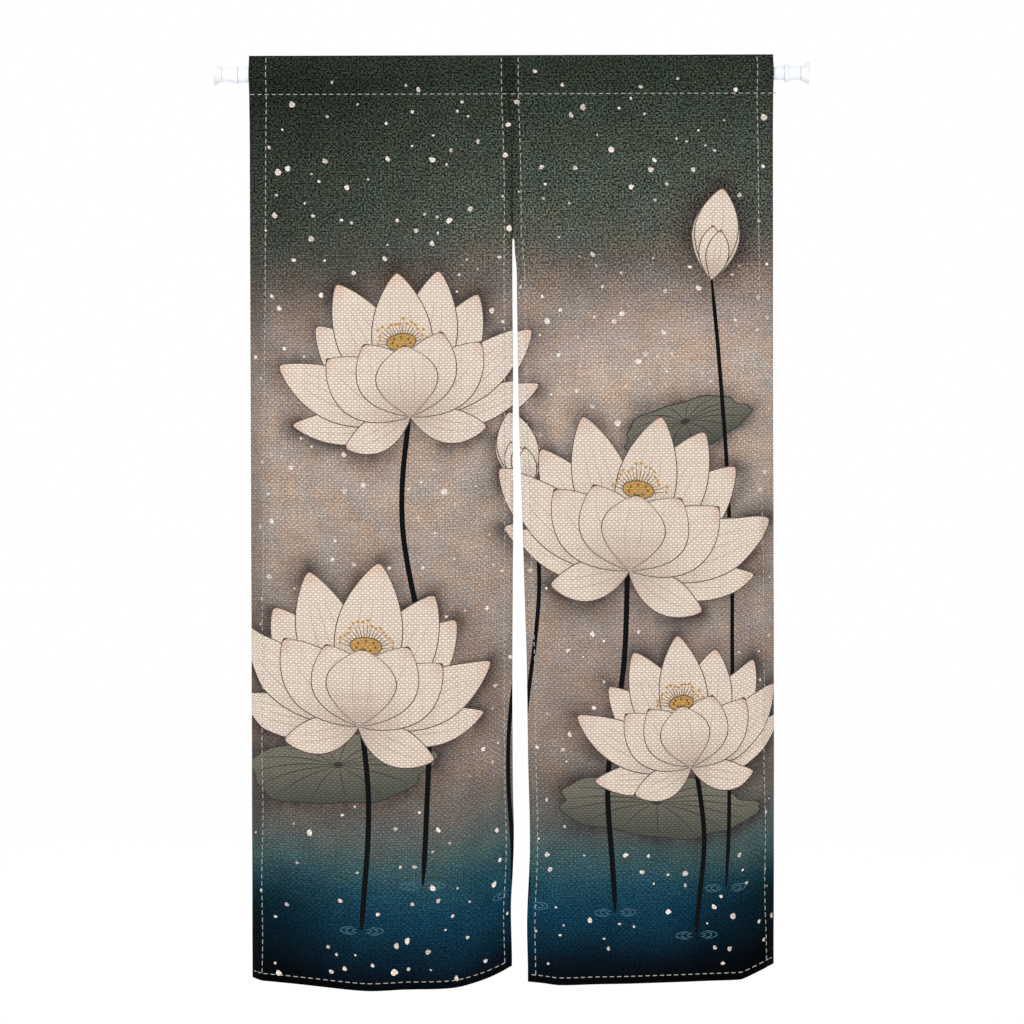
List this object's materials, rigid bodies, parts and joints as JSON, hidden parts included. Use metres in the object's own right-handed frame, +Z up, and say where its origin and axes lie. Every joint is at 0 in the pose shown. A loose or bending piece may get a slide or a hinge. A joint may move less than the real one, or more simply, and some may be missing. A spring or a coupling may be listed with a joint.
{
  "type": "noren curtain with tension rod",
  "caption": "Long split doorway curtain: hemmed cloth panels sewn together above a slit and hung by a sewn pocket on a telescoping tension rod with rubber feet.",
  "frame": {"origin": "the middle of the tension rod's axis", "axes": "+X along the rod to the viewer's right, +Y away from the viewer of the printed side, +Z up"},
  "size_m": [0.967, 0.0597, 1.5157],
  "materials": {
    "cloth": "plain-woven cotton and linen look, printed, matt",
    "rod": "white enamelled steel tube, satin",
    "cap": "white moulded plastic",
    "pad": "off-white soft rubber, matt"
  },
  "bodies": {
    "root": {"left_panel": "cloth", "right_panel": "cloth", "rod_outer_tube": "rod", "rod_inner_tube": "rod", "left_end_cap": "cap", "right_end_cap": "cap", "left_foot_pad": "pad", "right_foot_pad": "pad"}
  },
  "joints": []
}
